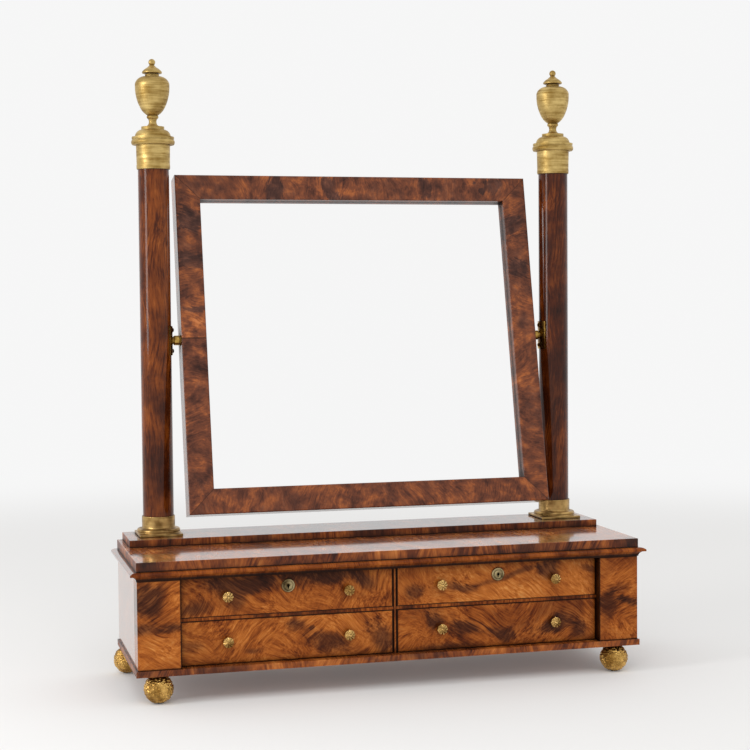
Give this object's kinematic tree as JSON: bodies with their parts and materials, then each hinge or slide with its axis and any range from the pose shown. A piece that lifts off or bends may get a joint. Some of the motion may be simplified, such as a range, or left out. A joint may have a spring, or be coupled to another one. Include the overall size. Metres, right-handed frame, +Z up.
{
  "type": "dressing table mirror with drawers",
  "caption": "Swing mirror in a mitred frame between two brass-mounted turned columns, on a low case with two rows of drawers and ball feet.",
  "frame": {"origin": "on the table top, under the middle of the whole object's box", "axes": "+X to the sitter's right when facing the glass, +Y away from the sitter, +Z up"},
  "size_m": [0.6372, 0.2294, 0.7637],
  "materials": {
    "case_veneer": "polished flame veneer",
    "frame_veneer": "polished dark veneer",
    "column_wood": "polished, dark",
    "secondary_wood": "planed, unpolished",
    "drawer_lining": "planed, waxed",
    "turned_brass": "turned and lacquered",
    "chased_brass": "chased and toned",
    "lock_steel": "filed",
    "looking_glass": "silvered"
  },
  "bodies": {
    "case": {"bottom_board": "case_veneer", "side_panel_left": "case_veneer", "side_panel_right": "case_veneer", "back_panel": "secondary_wood", "corner_block_left": "case_veneer", "corner_block_right": "case_veneer", "drawer_guide_left": "secondary_wood", "drawer_guide_right": "secondary_wood", "divider": "case_veneer", "dust_boards": "secondary_wood", "carcass_top": "secondary_wood", "top_board": "case_veneer", "cornice_front": "case_veneer", "cornice_left": "case_veneer", "cornice_right": "case_veneer", "column_plank": "case_veneer", "foot_front_left": "chased_brass", "foot_front_right": "chased_brass", "foot_back_left": "chased_brass", "foot_back_right": "chased_brass", "column_left": "column_wood", "column_right": "column_wood", "column_base_left": "chased_brass", "column_base_right": "chased_brass", "capital_left": "turned_brass", "capital_right": "turned_brass", "urn_left": "turned_brass", "urn_right": "turned_brass", "urn_lid_left": "turned_brass", "urn_lid_right": "turned_brass", "pivot_bracket_left": "turned_brass", "pivot_bracket_right": "turned_brass", "pivot_screws": "turned_brass"},
    "mirror": {"frame_stile_left": "frame_veneer", "frame_stile_right": "frame_veneer", "frame_rail_top": "frame_veneer", "frame_rail_bottom": "frame_veneer", "mirror_glass": "looking_glass", "mirror_backboard": "secondary_wood", "pivot_bush_left": "turned_brass", "pivot_bush_right": "turned_brass"},
    "drawer_upper_left": {"drawer_upper_left_front": "case_veneer", "drawer_upper_left_box": "drawer_lining", "drawer_upper_left_knobs": "turned_brass", "escutcheon_left": "chased_brass", "lock_case_left": "chased_brass"},
    "drawer_upper_right": {"drawer_upper_right_front": "case_veneer", "drawer_upper_right_box": "drawer_lining", "drawer_upper_right_knobs": "turned_brass", "escutcheon_right": "chased_brass", "lock_case_right": "chased_brass"},
    "drawer_lower_left": {"drawer_lower_left_front": "case_veneer", "drawer_lower_left_box": "drawer_lining", "drawer_lower_left_knobs": "turned_brass"},
    "drawer_lower_right": {"drawer_lower_right_front": "case_veneer", "drawer_lower_right_box": "drawer_lining", "drawer_lower_right_knobs": "turned_brass"},
    "lock_bolt_left": {"lock_bolt_left": "lock_steel"},
    "lock_bolt_right": {"lock_bolt_right": "lock_steel"}
  },
  "joints": [
    {"name": "mirror_tilt", "type": "hinge", "parent": "case", "child": "mirror", "pos_m": [0, 0.05584, 0.41741], "axis": [1, 0, 0], "continuous": true},
    {"name": "drawer_upper_left_slide", "type": "slide", "parent": "case", "child": "drawer_upper_left", "axis": [0, -1, 0], "range_m": [0, 0.14]},
    {"name": "drawer_upper_right_slide", "type": "slide", "parent": "case", "child": "drawer_upper_right", "axis": [0, -1, 0], "range_m": [0, 0.14]},
    {"name": "drawer_lower_left_slide", "type": "slide", "parent": "case", "child": "drawer_lower_left", "axis": [0, -1, 0], "range_m": [0, 0.14]},
    {"name": "drawer_lower_right_slide", "type": "slide", "parent": "case", "child": "drawer_lower_right", "axis": [0, -1, 0], "range_m": [0, 0.14]},
    {"name": "lock_bolt_left_throw", "type": "slide", "parent": "drawer_upper_left", "child": "lock_bolt_left", "axis": [0, 0, 1], "range_m": [0, 0.004]},
    {"name": "lock_bolt_right_throw", "type": "slide", "parent": "drawer_upper_right", "child": "lock_bolt_right", "axis": [0, 0, 1], "range_m": [0, 0.004]}
  ]
}
